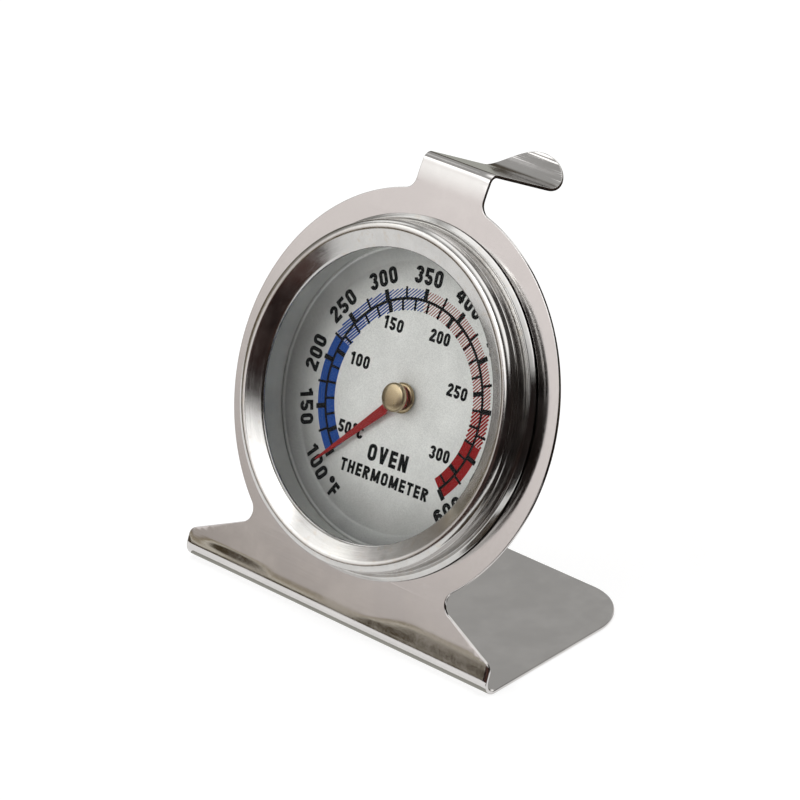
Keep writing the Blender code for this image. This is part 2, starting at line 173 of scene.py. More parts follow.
def steel(name, tint, rough, smudge, scratch, wave=0.0):
    """Polished sheet: faint smudges in the roughness, hairline scratches, slow waviness."""
    mat, nodes, shader = new_material(name, Metallic=1.0)
    mm, u, v, w = place(nodes)
    cloud = nodes.noise(mm, 0.14, 4.0, 0.6)
    fine = nodes.noise(mm, 2.2, 3.0, 0.6)
    dark = tuple(c * 0.93 for c in tint)
    colour = nodes.mix(nodes.ramp(cloud, 0.35, 0.7), (*dark, 1.0), (*tint, 1.0))
    link(nodes, colour, shader.inputs["Base Color"])
    level = nodes.ramp(nodes.times(cloud, nodes.math("ADD", fine, 0.5)), 0.3, 0.75,
                       rough, rough + smudge)
    link(nodes, level, shader.inputs["Roughness"])
    grain = nodes.combine(nodes.times(u, 0.05), nodes.times(v, 6.0), nodes.times(w, 6.0))
    lines = nodes.noise(grain, 1.0, 3.0, 0.7)
    slow = nodes.noise(mm, 0.06, 1.0, 0.5)
    height = nodes.math("ADD", nodes.times(lines, scratch), nodes.times(slow, wave))
    bump(nodes, shader, height)
    return mat


def turned_metal(name, tint, rough, spread, ring, stain=0.0, metallic=1.0):
    """Metal finished on a lathe: fine lines round the axis, mottled and slightly stained."""
    mat, nodes, shader = new_material(name, Metallic=metallic)
    mm, u, v, w = place(nodes)
    radius = nodes.math("SQRT", nodes.math("ADD", nodes.times(u, u), nodes.times(w, w)))
    groove = nodes.combine(nodes.times(nodes.math("ADD", radius, v), 5.0),
                           nodes.times(nodes.math("DIVIDE", u, radius), 2.0),
                           nodes.times(nodes.math("DIVIDE", w, radius), 2.0))
    lines = nodes.noise(groove, 1.3, 4.0, 0.7)
    cloud = nodes.noise(mm, 0.35, 4.0, 0.65)
    dull = tuple(c * 0.9 for c in tint)
    base = nodes.mix(nodes.ramp(cloud, 0.3, 0.7), (*dull, 1.0), (*tint, 1.0))
    spots = nodes.noise(mm, 0.8, 6.0, 0.7)
    spotted = nodes.times(nodes.ramp(spots, 0.52, 0.7), stain)
    colour = nodes.mix(spotted, base, (*STAIN_TINT, 1.0))
    link(nodes, colour, shader.inputs["Base Color"])
    level = nodes.ramp(nodes.math("ADD", nodes.times(lines, 0.5), nodes.times(cloud, 0.5)),
                       0.3, 0.7, rough, rough + spread)
    link(nodes, level, shader.inputs["Roughness"])
    bump(nodes, shader, nodes.times(lines, ring))
    return mat


def dial_enamel():
    """Sandblasted aluminium under a thin matt lacquer: fine grey sparkle. Painted shade darkens
    it away from one place, and a painted highlight brightens its edge.
    """
    mat, nodes, shader = new_material("dial_silver", Metallic=0.15, Specular_IOR_Level=0.3)
    mm, u, v, w = place(nodes)
    grain = nodes.noise(mm, 4.5, 3.0, 0.8)
    cloud = nodes.noise(mm, 0.2, 2.0, 0.5)
    tone = nodes.math("ADD", nodes.times(grain, 0.7), nodes.times(cloud, 0.3))
    colour = nodes.mix(nodes.ramp(tone, 0.3, 0.7), (0.64, 0.645, 0.64, 1.0),
                       (0.88, 0.885, 0.875, 1.0))
    away = nodes.length(nodes.combine(nodes.math("SUBTRACT", u, DIAL_LEAST_SHADE[0]),
                                      nodes.math("SUBTRACT", w, DIAL_LEAST_SHADE[1]), 0.0))
    # painted shade: the colour grows darker away from its lightest place, standing in for the
    # recess's shade
    painted_shade = nodes.ramp(nodes.times(away, away), *DIAL_PAINTED_SHADE)
    from_axis = nodes.length(nodes.combine(u, w, 0.0))
    # painted highlight: the colour doubles towards the dial's edge
    painted_shade = nodes.times(painted_shade, nodes.ramp(from_axis, RIM_HIGHLIGHT_START, RIM_HIGHLIGHT_END, 1.0, 2.0))
    colour = nodes.add("ShaderNodeVectorMath", {0: colour, "Scale": painted_shade},
                       operation="SCALE").outputs[0]
    link(nodes, colour, shader.inputs["Base Color"])
    link(nodes, nodes.ramp(grain, 0.3, 0.7, 0.33, 0.48), shader.inputs["Roughness"])
    bump(nodes, shader, nodes.times(grain, 0.012))
    return mat


def ink(name, colour):
    """Screen-printed ink: slightly uneven coverage."""
    mat, nodes, shader = new_material(name, Specular_IOR_Level=0.06)
    mm, u, v, w = place(nodes)
    patchy = nodes.noise(mm, 6.0, 3.0, 0.6)
    light = tuple(min(1.0, c * 1.25 + 0.004) for c in colour)
    mixed = nodes.mix(nodes.ramp(patchy, 0.35, 0.75), (*colour, 1.0), (*light, 1.0))
    link(nodes, mixed, shader.inputs["Base Color"])
    link(nodes, nodes.ramp(patchy, 0.3, 0.7, 0.34, 0.52), shader.inputs["Roughness"])
    bump(nodes, shader, nodes.times(patchy, 0.004))
    return mat


def lacquer(name, colour, rough):
    """Painted metal: a smooth coat with slight orange peel."""
    mat, nodes, shader = new_material(name, Specular_IOR_Level=0.25, Coat_Weight=0.1,
                                      Coat_Roughness=0.15)
    mm, u, v, w = place(nodes)
    peel = nodes.noise(mm, 3.0, 2.0, 0.5)
    deep = tuple(c * 0.8 for c in colour)
    mixed = nodes.mix(nodes.ramp(peel, 0.3, 0.7), (*deep, 1.0), (*colour, 1.0))
    link(nodes, mixed, shader.inputs["Base Color"])
    link(nodes, nodes.ramp(peel, 0.3, 0.7, rough, rough + 0.1), shader.inputs["Roughness"])
    bump(nodes, shader, nodes.times(peel, 0.01))
    return mat


def pane():
    """Thin flat glass: clear, with a mirror share that grows at grazing angles."""
    mat = bpy.data.materials.new("lens_glass")
    mat.use_nodes = True
    tree = mat.node_tree
    nodes = Nodes(tree)
    tree.nodes.remove(tree.nodes["Principled BSDF"])
    mm, u, v, w = place(nodes)
    film = nodes.noise(mm, 0.3, 4.0, 0.6)
    clear = nodes.add("ShaderNodeBsdfTransparent", {"Color": (0.985, 0.99, 0.985, 1.0)})
    gloss = nodes.add("ShaderNodeBsdfGlossy", {"Color": (1.0, 1.0, 1.0, 1.0)})
    link(nodes, nodes.ramp(film, 0.3, 0.7, 0.02, 0.06), gloss.inputs["Roughness"])
    fresnel = nodes.add("ShaderNodeFresnel", {"IOR": 1.12})
    from_axis = nodes.length(nodes.combine(u, w, 0.0))
    share = nodes.times(fresnel.outputs[0], nodes.ramp(from_axis, PANE_EDGE, PANE_CLEAR))
    mixed = nodes.add("ShaderNodeMixShader", {0: share, 1: clear.outputs[0],
                                              2: gloss.outputs[0]})
    link(nodes, mixed.outputs[0], tree.nodes["Material Output"].inputs["Surface"])
    return mat


# ---------------------------------------------------------------- flat printed shapes

class Print:
    """Collects flat shapes in scale coordinates (mm about the scale's centre) into one mesh."""

    def __init__(self, name, front):
        self.name, self.verts, self.faces = name, [], []
        self.front = front

    def strip(self, left, right, closed=False):
        """A ribbon between two equal polylines, as one closed body."""
        n, k = len(left), len(self.verts)
        for v in (self.front, INK_BACK):
            for side in (left, right):
                self.verts += [dial_point(SCALE_U + x, v, SCALE_W + y) for x, y in side]
        last = n if closed else n - 1
        fl, fr, bl, br = k, k + n, k + 2 * n, k + 3 * n
        for i in range(last):
            j = (i + 1) % n
            self.faces.append((fl + i, fl + j, fr + j, fr + i))
            self.faces.append((bl + j, bl + i, br + i, br + j))
            self.faces.append((fl + j, fl + i, bl + i, bl + j))
            self.faces.append((fr + i, fr + j, br + j, br + i))
        if not closed:
            self.faces.append((fl, fr, br, bl))
            e = n - 1
            self.faces.append((fl + e, bl + e, br + e, fr + e))

    def stroke(self, points, half, closed=False):
        """A pen stroke of even width along a polyline."""
        n = len(points)
        left, right = [], []
        for i, (x, y) in enumerate(points):
            a = points[(i - 1) % n] if closed or i else None
            b = points[(i + 1) % n] if closed or i < n - 1 else None
            da = unit(x - a[0], y - a[1]) if a else None
            db = unit(b[0] - x, b[1] - y) if b else None
            da, db = da or db, db or da
            tx, ty = unit(da[0] + db[0], da[1] + db[1])
            grow = half / max(0.5, tx * da[0] + ty * da[1])
            left.append((x - ty * grow, y + tx * grow))
            right.append((x + ty * grow, y - tx * grow))
        self.strip(right, left, closed)

    def make(self, mat):
        mesh = bpy.data.meshes.new(self.name)
        mesh.from_pydata(self.verts, [], self.faces)
        mesh.materials.append(mat)
        mesh.update()
        obj = bpy.data.objects.new(self.name, mesh)
        bpy.context.scene.collection.objects.link(obj)
        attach(obj, BODY)


def unit(x, y):
    size = math.hypot(x, y) or 1.0
    return x / size, y / size


def polar(radius, degrees):
    a = math.radians(degrees)
    return radius * math.cos(a), radius * math.sin(a)


def scale_angle(fahrenheit):
    """Direction of a temperature on the scale, degrees counter-clockwise from +u."""
    warmer = fahrenheit - COLDEST
    drift = DRIFT * max(0.0, math.sin(math.pi * warmer / DRIFT_SPAN))
    return SCALE_START + PRINT_TURN - SCALE_SWEEP * (warmer / (HOTTEST - COLDEST)) + drift


def celsius_angle(celsius):
    return scale_angle(celsius * 1.8 + 32.0)


def sector(ink_piece, f0, f1):
    """A solid piece of the coloured band between two temperatures."""
    steps = max(2, int(abs(f1 - f0) / 6.0))
    inner, outer = [], []
    for i in range(steps + 1):
        a = scale_angle(f0 + (f1 - f0) * i / steps)
        inner.append(polar(BAND_IN, a))
        outer.append(polar(BAND_OUT, a))
    ink_piece.strip(inner, outer)


def inside_band(x, y, low, high):
    r = math.hypot(x, y)
    a = math.degrees(math.atan2(y, x)) % 360.0
    if a > 300.0:
        a -= 360.0
    return BAND_IN <= r <= BAND_OUT and high <= a <= low


def hatch(ink_piece, f0, f1, half, slope, pitch=HATCH_PITCH):
    """Diagonal lines clipped to the band between two temperatures."""
    low, high = scale_angle(f0), scale_angle(f1)
    dx, dy = polar(1.0, slope)
    count = int(2 * BAND_OUT / pitch) + 1
    for i in range(count):
        off = -BAND_OUT + i * pitch
        run, t = None, -BAND_OUT - 0.2
        while t <= BAND_OUT + 0.2:
            x, y = -dy * off + dx * t, dx * off + dy * t
            if inside_band(x, y, low, high):
                run = (run[0], (x, y)) if run else ((x, y), (x, y))
            elif run:
                if math.dist(*run) > SHORTEST_DASH:
                    ink_piece.stroke(list(run), half)
                run = None
            t += HATCH_STEP


def tick(ink_piece, angle, r0, r1, half):
    ink_piece.stroke([polar(r0, angle), polar(r1, angle)], half)


# ---------------------------------------------------------------- lettering

STROKE = 0.235        # stroke width as a share of the letter height


def bow(cx, cy, rx, ry, start, end):
    """Points along an elliptic arc between two angles in degrees."""
    steps = max(3, int(abs(end - start) / 15))
    out = []
    for i in range(steps + 1):
        a = math.radians(start + (end - start) * i / steps)
        out.append((cx + rx * math.cos(a), cy + ry * math.sin(a)))
    return out


def glyph(char, wide):
    """Strokes of a condensed upright letter one unit high: [(points, closed), ...]."""
    h = STROKE / 2
    left, right, low, top = h, wide - h, h, 1.0 - h
    cx, r = wide / 2, (wide - STROKE) / 2
    if char in "0O":
        ring = bow(cx, top - r, r, r, 0, 180) + bow(cx, low + r, r, r, 180, 360)
        return [(ring, True)]
    if char == "1":
        x = wide * 0.62
        flag = [(x - 0.27, 0.76), (x - 0.12, 0.82), (x, 0.93)]
        return [([(x, 0.0), (x, 1.0)], False), (flag, False)]
    if char == "2":
        hook = bow(cx, top - r, r, r, 190, -28)
        return [(hook + [(left + 0.03, low + 0.10), (left + 0.01, low)], False),
                ([(0.0, low), (wide, low)], False)]
    if char == "3":
        upper = bow(cx, top - r, r, r * 0.98, 175, -62)
        lower = bow(cx, low + r, r, r * 1.1, 62, -175)
        return [(upper + [(cx, 0.53)], False), ([(cx, 0.53)] + lower, False)]
    if char == "4":
        return [([(wide * 0.72, 0.0), (wide * 0.72, 1.0)], False),
                ([(0.0, 0.26), (wide, 0.26)], False),
                ([(wide * 0.68, 0.98), (0.05, 0.28)], False)]
    if char == "5":
        belly = bow(cx, low + r * 1.1, r, r * 1.1, 128, -172)
        return [([(left + 0.01, top), (wide - 0.03, top)], False),
                ([(left + 0.02, 1.0), (left, 0.46)], False), (belly, False)]
    if char == "6":
        spine = bow(cx, top - r, r, r, 8, 180) + bow(cx, low + r, r, r, 180, 360)
        spine += bow(cx, 0.60 - r, r, r, 0, 172)
        return [(spine, False)]
    if char == "C":
        return [(bow(cx, top - r, r, r, -8, 180) + bow(cx, low + r, r, r, 180, 368), False)]
    if char == "o":                       # the degree ring
        return [(bow(cx, 0.86, 0.10, 0.10, 0, 330), True)]
    if char == "V":
        return [([(h, 1.0), (cx - 0.01, 0.02)], False),
                ([(wide - h, 1.0), (cx + 0.01, 0.02)], False)]
    stem, far_stem = ([(left, 0.0), (left, 1.0)], False), ([(right, 0.0), (right, 1.0)], False)
    if char == "N":
        return [stem, far_stem, ([(left + 0.01, 0.97), (right - 0.01, 0.03)], False)]
    if char == "M":
        return [stem, far_stem, ([(left + 0.02, 0.98), (cx, 0.1)], False),
                ([(right - 0.02, 0.98), (cx, 0.1)], False)]
    if char == "H":
        return [stem, far_stem, ([(left, 0.5), (right, 0.5)], False)]
    if char == "T":
        return [([(cx, 0.0), (cx, 1.0)], False), ([(0.0, top), (wide, top)], False)]
    if char == "R":
        bowl = [(left, top)] + bow(right - r, 0.73, r, 1.0 - h - 0.73, 90, -90) + [(left, 0.47)]
        return [stem, (bowl, False), ([(cx - 0.02, 0.47), (right, 0.0)], False)]
    bars = {"E": (low, 0.5, top), "F": (0.5, top)}[char]
    return [stem] + [([(left, y), (wide - 0.02, y)], False) for y in bars]


WIDTHS = {"M": 0.76, "1": 0.46, "o": 0.40, "V": 0.60, "T": 0.52, "E": 0.50, "F": 0.50}
USUAL_WIDTH, GAP = 0.58, 0.115


def write(ink_piece, text, height, centre, turn, width):
    """Writes text centred on a point (mm), turned by degrees, stretched to a total width."""
    sizes = [WIDTHS.get(c, USUAL_WIDTH) for c in text]
    total = sum(sizes) + GAP * (len(text) - 1)
    stretch = width / (total * height)
    x = -total / 2
    ca, sa = math.cos(math.radians(turn)), math.sin(math.radians(turn))
    for char, size in zip(text, sizes):
        for points, closed in glyph(char, size):
            placed = []
            for px, py in points:
                gx, gy = (x + px) * height * stretch, (py - 0.5) * height
                placed.append((centre[0] + gx * ca - gy * sa, centre[1] + gx * sa + gy * ca))
            ink_piece.stroke(placed, height * STROKE / 2, closed)
        x += size + GAP


def ring_text(ink_piece, text, height, angle, radius, outward, width):
    """Text along the rim: tops outward, or tops towards the centre."""
    turn = angle - 90.0 if outward else angle + 90.0
    write(ink_piece, text, height, polar(radius, angle), turn, width)


def print_dial():
    black = ink("ink_black", (0.004, 0.005, 0.006))
    blue = ink("ink_blue", (0.016, 0.065, 0.28))
    red = ink("ink_red", (0.27, 0.010, 0.011))
    cool = Print("print_band_blue", COLOUR_LAYER)
    hot = Print("print_band_red", COLOUR_LAYER)
    sector(cool, COLDEST, 225.0)
    for f0, f1, half in ((225.0, 262.0, 0.14), (262.0, 306.0, 0.115), (306.0, 350.0, 0.09)):
        hatch(cool, f0, f1, half, 50.0)
    for f0, f1, half in ((350.0, 400.0, 0.065), (400.0, 450.0, 0.08), (450.0, 500.0, 0.10)):
        hatch(hot, f0, f1, half, 54.0)
    hatch(hot, 500.0, 536.0, 0.16, 54.0, 0.42)
    sector(hot, 536.0, HOTTEST)
    cool.make(blue)
    hot.make(red)

    marks = Print("print_marks", BLACK_LAYER)
    line = [polar(BAND_MID, scale_angle(COLDEST + 5.0 * i)) for i in range(101)]
    marks.stroke(line, 0.215)
    for i in range(21):                   # every 25 degrees Fahrenheit, heavier every 50
        angle = scale_angle(COLDEST + 25.0 * i)
        tick(marks, angle, BAND_MID, BAND_OUT + 0.3, 0.19 if i % 2 else 0.38)
    for i in range(28):                   # every 10 degrees Celsius, heavier every 50
        angle = celsius_angle(40.0 + 10.0 * i)
        tick(marks, angle, BAND_IN, BAND_MID, 0.35 if (i - 1) % 5 == 0 else 0.19)
    marks.make(black)

    figures = Print("print_numerals", BLACK_LAYER)
    for f in (200, 250, 300, 350, 400, 450, 500):
        ring_text(figures, str(f), 2.6, scale_angle(f) + 0.8, 18.6, True, 5.4)
    for f in (150, 550, 600):
        ring_text(figures, str(f), 2.55, scale_angle(f), 18.68, False, 5.4)
    ring_text(figures, "100", 2.55, 227.6, 18.74, False, 5.4)
    ring_text(figures, "oF", 2.45, 242.4, 18.6, False, 2.5)
    inner = (("150", -5.55, 10.0), ("200", 3.57, 10.75), ("300", 9.38, -5.38),
             ("100", -9.9, 3.0), ("250", 9.4, 4.2))
    for text, u, w in inner:
        write(figures, text, 1.95, (u, w), PRINT_TURN, 3.85)
    write(figures, "50", 1.95, (-9.3, -7.2), PRINT_TURN, 2.45)
    write(figures, "oC", 1.95, (-6.65, -7.1), PRINT_TURN, 2.15)
    figures.make(black)

    words = Print("print_words", BLACK_LAYER)
    write(words, "OVEN", 2.55, (0.23, -8.95), PRINT_TURN + 0.6, 7.95)
    write(words, "THERMOMETER", 1.92, (0.63, -12.15), PRINT_TURN, 17.6)
    words.make(black)


# ---------------------------------------------------------------- turned pieces

def arc(cx, cy, radius, start, end, steps):
    """Points along a circular arc between two angles in radians."""
    out = []
    for i in range(steps + 1):
        a = start + (end - start) * i / steps
        out.append((cx + radius * math.cos(a), cy + radius * math.sin(a)))
    return out


CORNER_SHARE, CORNER_REACH = 0.22, 0.09


def soften(rows, closed=True):
    """Cuts the corners of a profile so that light rolls over them."""
    out = []
    n = len(rows)
    for i, (x, y) in enumerate(rows):
        if not closed and i in (0, n - 1):
            out.append((x, y))
            continue
        for other in (rows[i - 1], rows[(i + 1) % n]):
            reach = math.dist((x, y), other)
            k = min(CORNER_SHARE, CORNER_REACH / max(reach, 1e-6))
            out.append((x + (other[0] - x) * k, y + (other[1] - y) * k))
    return out


def piece_from(name, bm, mat, node, body, sharp=32.0):
    """Makes the mesh a piece that stands in for a CAD node and rides on its body."""
    bmesh.ops.recalc_face_normals(bm, faces=bm.faces[:])
    mesh = bpy.data.meshes.new(name)
    bm.to_mesh(mesh)
    bm.free()
    mesh.materials.append(mat)
    mesh.shade_smooth()
    mesh.set_sharp_from_angle(angle=math.radians(sharp))
    obj = bpy.data.objects.new(name, mesh)
    bpy.context.scene.collection.objects.link(obj)
    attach(obj, body)
    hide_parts(node)
    return obj


def turned(name, rows, mat, node, body=BODY, segments=240):
    """A turned piece: a closed ring, or a solid when the profile starts and ends on the axis."""
    bm = bmesh.new()
    rings = []
    for radius, v in rows:
        if radius < 1e-6:
            rings.append([bm.verts.new(dial_point(0.0, v, 0.0))])
            continue
        ring = []
        for i in range(segments):
            x, y = polar(radius, 360.0 * i / segments)
            ring.append(bm.verts.new(dial_point(x, v, y)))
        rings.append(ring)
    pairs = list(zip(rings, rings[1:]))
    if len(rings[0]) > 1 and len(rings[-1]) > 1:
        pairs.append((rings[-1], rings[0]))
    for a, b in pairs:
        for i in range(segments):
            j = (i + 1) % segments
            if len(a) == 1:
                bm.faces.new((a[0], b[i], b[j]))
            elif len(b) == 1:
                bm.faces.new((a[i], b[0], a[j]))
            else:
                bm.faces.new((a[i], b[i], b[j], a[j]))
    return piece_from(name, bm, mat, node, body)


def bezel_rows():
    """Lip, sloping face, round shoulder, side wall with a bead, groove and flared foot."""
    rows = [(21.84, -3.15), (21.84, -3.58), (22.05, -3.76)]
    rows += arc(24.77, -3.80, 1.2, math.radians(-117), math.radians(-18), 18)
    rows += [(25.93, -3.3), (26.0, -3.2), (26.02, -3.1), (25.98, -2.95), (25.97, -2.8),
             (25.97, -1.05), (26.0, -0.85), (26.1, -0.8), (26.38, -0.98), (26.48, -1.01),
             (26.58, -0.95), (27.08, -0.42), (27.15, -0.3)]
    rows += [(25.6, -0.3), (25.45, -0.6), (25.45, -4.1), (25.15, -4.5), (24.75, -4.45),
             (22.3, -3.2)]
    return soften(soften(rows))


def case_rows():
    """Drawn cup: floor, wall, bead behind the plate and rolled mouth in front of it."""
    floor, t, corner_r, inner_r = 10.5, 0.45, 22.3, 0.65
    rows = [(0.0, floor), (corner_r, floor)]
    rows += arc(corner_r, floor - inner_r, inner_r, math.pi / 2, 0.0, 6)[1:]
    rows += [(22.95, 2.37), (24.7, 2.37), (24.7, 1.75), (25.55, 1.45), (25.55, 1.15),
             (24.7, 0.85), (24.7, -2.9), (25.15, -2.9), (25.15, 0.75), (26.05, 1.0),
             (26.05, 1.6), (25.15, 1.9), (25.15, 2.82), (23.4, 2.82)]
    rows += arc(corner_r, floor - inner_r, inner_r + t, 0.0, math.pi / 2, 8)
    rows += [(19.6, floor + t), (19.2, floor + t - 0.12), (18.8, floor + t), (0.0, floor + t)]
    return soften(rows, closed=False)


def dial_rows():
    """Flat dial with a conical rim that ends in a small groove and a flange."""
    f, t, hole, flange, flange_v = DIAL_V, 0.4, 1.9, 24.4, 1.67
    cone = [(20.05, f), (20.25, f - 0.015), (20.45, f - 0.07), (20.8, f - 0.24), (21.95, 1.89),
            (22.15, 1.78), (22.3, 1.62), (22.42, 1.56), (22.55, 1.56), (22.66, 1.62),
            (22.72, flange_v)]
    rows = [(hole, f)] + cone
    rows += [(flange, flange_v), (flange, flange_v + t), (22.8, flange_v + t)]
    return rows + [(20.6, f + t - 0.2), (19.6, f + t), (hole, f + t)]


def turn_pieces():
    bezel = turned_metal("bezel_steel", (0.575, 0.565, 0.55), 0.12, 0.10, 0.003, 0.3)
    turned("bezel_ring", bezel_rows(), bezel, "bezel")
    case = turned_metal("case_steel", (0.58, 0.57, 0.56), 0.2, 0.12, 0.003)
    turned("case_shell", case_rows(), case, "rear_case")
    spacer = turned_metal("spacer_aluminium", (0.76, 0.77, 0.75), 0.42, 0.15, 0.004,
                          metallic=0.4)
    rows = [(22.75, -2.5), (22.85, -2.65), (24.4, -2.65), (24.4, 1.6), (22.85, 1.6),
            (22.75, 1.5)]
    turned("spacer_wall", rows, spacer, "spacer_ring")
    rows = [(0.0, -2.7), (22.5, -2.7), (22.7, -2.5), (22.7, -1.4), (22.5, -1.2), (0.0, -1.2)]
    turned("lens_pane", rows, pane(), "glass_lens")
    turned("dial_face", dial_rows(), dial_enamel(), "dial_plate")
    brass = turned_metal("bush_brass", (0.50, 0.385, 0.235), 0.25, 0.15, 0.004)
    rows = [(1.0, 2.05), (1.95, 2.05), (2.3, 2.25), (2.3, 2.6), (1.6, 2.6), (1.6, 5.8),
            (1.0, 5.8)]
    turned("bush_flange", soften(rows), brass, "front_bush", segments=72)
    rows = [(0.0, 0.6), (1.0, 0.6), (1.0, 1.7), (1.2, 1.7), (1.2, 0.95), (2.2, 0.95),
            (2.2, 0.45), (2.1, 0.28), (1.9, 0.15), (1.2, 0.0), (0.0, -0.05)]
    hub = turned_metal("hub_brass", (0.50, 0.40, 0.26), 0.25, 0.15, 0.004)
    turned("hub_cap", soften(rows, closed=False), hub, "pointer_hub", TURNING, 72)


# ---------------------------------------------------------------- pointer

POINTER_TURN = math.radians(227.5)
POINTER_TIP, POINTER_SHEET, POINTER_RIDGE = 18.5, 0.22, 0.08
POINTER_LINE = (                       # reach, half width and v of the blade's front
    (1.7, 0.85, 1.25), (2.45, 0.80, 1.25), (2.7, 0.79, 1.32), (3.3, 0.77, 1.84),
    (3.55, 0.76, 1.9), (5.0, 0.70, 1.9), (11.5, 0.42, 1.9),
    (POINTER_TIP - 0.25, 0.14, 1.9), (POINTER_TIP, 0.03, 1.9))
EYE_IN, EYE_OUT, EYE_FRONT, EYE_BACK, EYE_SIDES = 1.5, 1.95, 1.25, 1.5, 72


def build_pointer():
    """A red blade, set down towards the dial past the hub, with a faint ridge along it."""
    bm = bmesh.new()
    c, s = math.cos(POINTER_TURN), math.sin(POINTER_TURN)
    stations = []
    for reach, half, v in POINTER_LINE:
        ring = []
        for side, back in ((half, 0.03), (0.0, 0.03 - POINTER_RIDGE), (-half, 0.03),
                           (-half, POINTER_SHEET), (half, POINTER_SHEET)):
            ring.append(bm.verts.new(dial_point(reach * c - side * s, v + back,
                                                reach * s + side * c)))
        stations.append(ring)
    for a, b in zip(stations, stations[1:]):
        for i in range(5):
            j = (i + 1) % 5
            bm.faces.new((a[i], a[j], b[j], b[i]))
    bm.faces.new(stations[0])
    bm.faces.new(stations[-1][::-1])
    rings = []
    for radius, v in ((EYE_IN, EYE_FRONT), (EYE_OUT, EYE_FRONT), (EYE_OUT, EYE_BACK),
                      (EYE_IN, EYE_BACK)):
        ring = [polar(radius, 360.0 * i / EYE_SIDES) for i in range(EYE_SIDES)]
        rings.append([bm.verts.new(dial_point(u, v, w)) for u, w in ring])
    for a, b in zip(rings, rings[1:] + rings[:1]):
        for i in range(EYE_SIDES):
            j = (i + 1) % EYE_SIDES
            bm.faces.new((a[i], b[i], b[j], a[j]))
    red = lacquer("pointer_red", (0.34, 0.010, 0.012), 0.3)
    piece_from("pointer_blade", bm, red, "pointer", TURNING, 20.0)


# ---------------------------------------------------------------- stand

SHEET, PLATE_R, HOLE_R, BASE_HALF = 0.5, 31.0, 25.45, 31.0
EDGE = 0.11                            # radius of the sheet's dulled edge
WING_SLOPE = math.radians(24.0)
WING_U, WING_S = 22.0, 8.1             # a point on the wing's sloping edge
WING_CORNER_R, NECK_R = 1.5, 2.0
FOOT_LENGTH, FOOT_CORNER_R = 31.6, 8.6
TAB_HALF, TAB_R = 6.6, 2.0
HOOK_BEND_W, HOOK_BEND_R, HOOK_TURN, HOOK_LENGTH = 69.4, 1.6, math.radians(93.4), 12.4
FLIP_R, FLIP_TURN = 5.2, math.radians(80.0)
BEND_MID = FOOT_BEND_R - SHEET / 2
FOOT_ARC = BEND_MID * (math.pi / 2 + LEAN)
FOOT_TOP_S = FOOT_BEND_R
FOOT_LOW_S = FOOT_TOP_S - FOOT_ARC
FOOT_END_S = FOOT_LOW_S - FOOT_LENGTH
HOOK_MID = HOOK_BEND_R - SHEET / 2
HOOK_S = HOOK_BEND_W + HOOK_MID * HOOK_TURN
FLIP_S = HOOK_S + HOOK_LENGTH
FLIP_MID = FLIP_R + SHEET / 2
TIP_S = FLIP_S + FLIP_MID * FLIP_TURN
SAG_TOP = 6.0                          # the foot's bend is felt up to here on the plate
HOOK_EASE, HOOK_SAG = 3.2, 0.22        # the same below the hook's bend


def walk(point, angle, length, turn):
    """Goes along a line or, when it turns, along a circular bend."""
    if abs(turn) < 1e-9:
        return (point[0] + length * math.cos(angle), point[1] + length * math.sin(angle)), angle
    r = length / turn
    x = point[0] + r * (math.sin(angle + turn) - math.sin(angle))
    y = point[1] - r * (math.cos(angle + turn) - math.cos(angle))
    return (x, y), angle + turn


def sheet_line(s):
    """Middle line of the bent sheet: position in (v, height) and direction at length s."""
    point, angle = (SHEET / 2, FOOT_TOP_S), math.pi / 2
    if s < FOOT_TOP_S:
        part = min(FOOT_TOP_S - s, FOOT_ARC)
        point, angle = walk(point, angle, -part, part / BEND_MID)
        if s < FOOT_LOW_S:
            point, angle = walk(point, angle, s - FOOT_LOW_S, 0.0)
        return point, angle
    point, angle = walk(point, angle, min(s, HOOK_BEND_W) - FOOT_TOP_S, 0.0)
    if s > HOOK_BEND_W:
        part = min(s, HOOK_S) - HOOK_BEND_W
        point, angle = walk(point, angle, part, -part / HOOK_MID)
    if s > HOOK_S:
        point, angle = walk(point, angle, min(s, FLIP_S) - HOOK_S, 0.0)
    if s > FLIP_S:
        point, angle = walk(point, angle, s - FLIP_S, (s - FLIP_S) / FLIP_MID)
    return point, angle


def ease(k):
    k = min(1.0, max(0.0, k))
    return k * k * (3.0 - 2.0 * k)


def sag(x, s):
    """How far the press pulled the sheet back beside the two bends (mm)."""
    if s > HOOK_BEND_W - HOOK_EASE:
        if s < HOOK_BEND_W:
            return HOOK_SAG * ((s - HOOK_BEND_W + HOOK_EASE) / HOOK_EASE) ** 2
        return HOOK_SAG * ease((HOOK_S - s) / (HOOK_S - HOOK_BEND_W))
    if s <= FOOT_LOW_S or s >= SAG_TOP:
        return 0.0
    right = ease((x - 2.0) / 14.0)
    left = max(0.0, 1.0 - ((x + 21.0) / 8.0) ** 2)
    k = max(0.0, 1.0 - (s - FOOT_TOP_S) / 1.5)
    near = 0.03 * min(1.0, k * k)
    dent = 0.062 * left * ease((FOOT_TOP_S + 1.95 - s) / 1.5)
    pull = 0.108 * right * ease((FOOT_TOP_S + 0.7 + 2.6 * right - s) / (0.7 + 2.6 * right))
    depth = near + dent + pull
    if s >= FOOT_TOP_S:
        return depth
    return depth * ease((s - FOOT_LOW_S) / (FOOT_TOP_S - FOOT_LOW_S))


def sheet_place(x, s, t):
    """A point of the flat blank (mm) with depth t through the sheet, bent and standing."""
    (v, h), angle = sheet_line(s)
    t += sag(x, s)
    return dial_point(x, v + math.sin(angle) * t, h - math.cos(angle) * t - AXIS_W)


def neck_fillet():
    """Centre of the fillet between the wing's edge and the round plate."""
    nx, ny = math.sin(WING_SLOPE), math.cos(WING_SLOPE)
    reach = PLATE_R + NECK_R
    d = nx * WING_U + ny * WING_S + NECK_R - ny * AXIS_W
    along = math.sqrt(reach * reach - d * d)
    return d * nx + along * ny, AXIS_W + d * ny - along * nx


